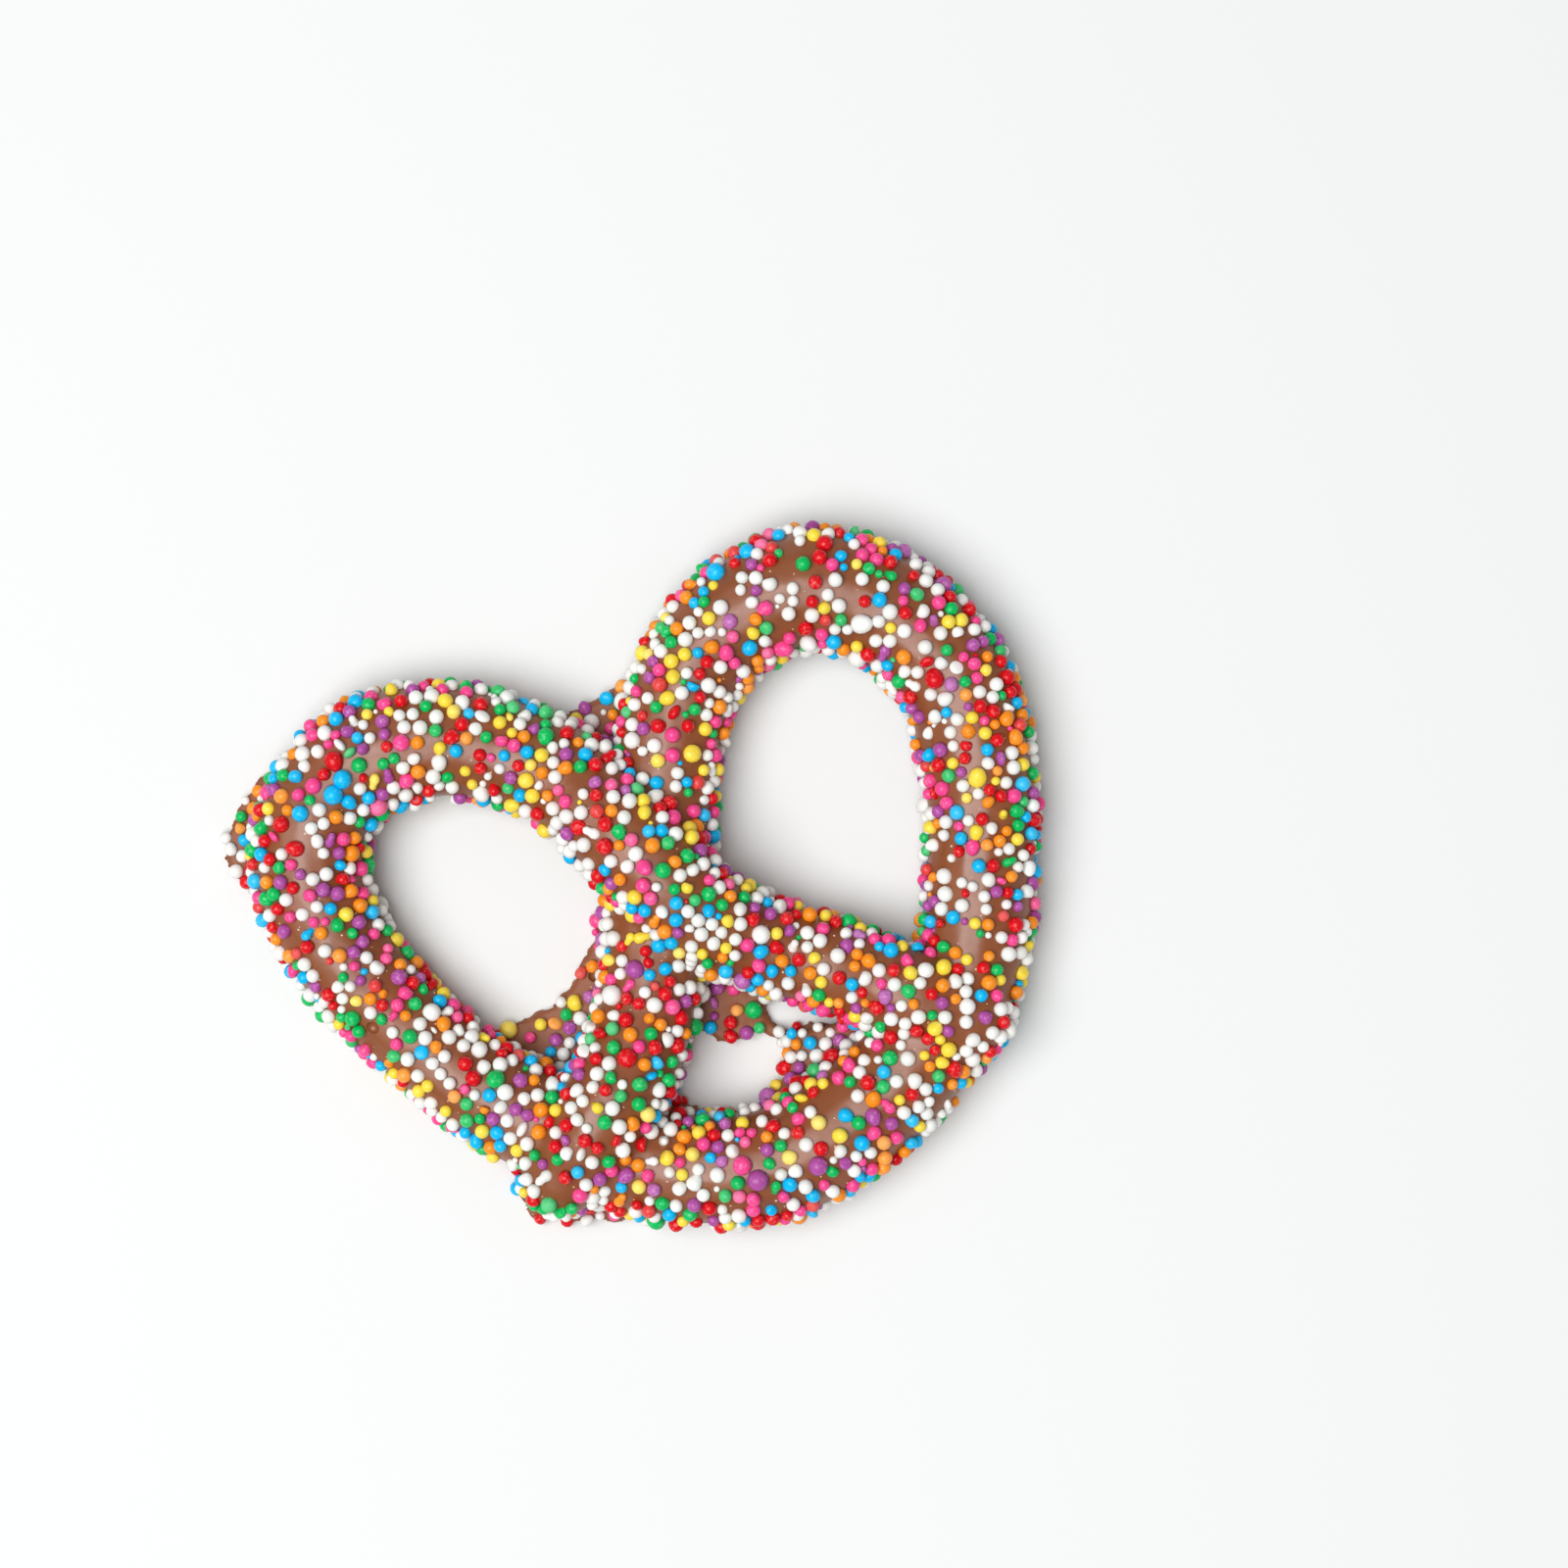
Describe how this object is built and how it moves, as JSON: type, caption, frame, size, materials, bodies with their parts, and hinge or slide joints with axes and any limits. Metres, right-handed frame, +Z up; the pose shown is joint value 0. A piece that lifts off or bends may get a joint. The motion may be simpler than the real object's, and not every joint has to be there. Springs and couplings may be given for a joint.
{
  "type": "chocolate covered pretzel",
  "caption": "Chocolate covered pretzel: a knotted rope of hard pretzel in milk chocolate, rolled in rainbow sugar pearls, lying flat on its foot; a sweet snack.",
  "frame": {"origin": "centre of the bounding box in plan, on the flat underside", "axes": "+Z up from the flat underside, +X across both lobes, -Y towards the bow and +Y towards the two lobes"},
  "size_m": [0.0864, 0.0711, 0.0161],
  "materials": {
    "milk_chocolate": "milk chocolate, satin to semi-gloss, slightly uneven",
    "pearls_white": "white sugar pearl, satin",
    "pearls_pink": "pink sugar pearl, satin",
    "pearls_red": "red sugar pearl, satin",
    "pearls_orange": "orange sugar pearl, satin",
    "pearls_yellow": "yellow sugar pearl, satin",
    "pearls_green": "green sugar pearl, satin",
    "pearls_blue": "blue sugar pearl, satin",
    "pearls_purple": "purple sugar pearl, satin"
  },
  "bodies": {
    "root": {"pretzel": "milk_chocolate"}
  },
  "joints": []
}
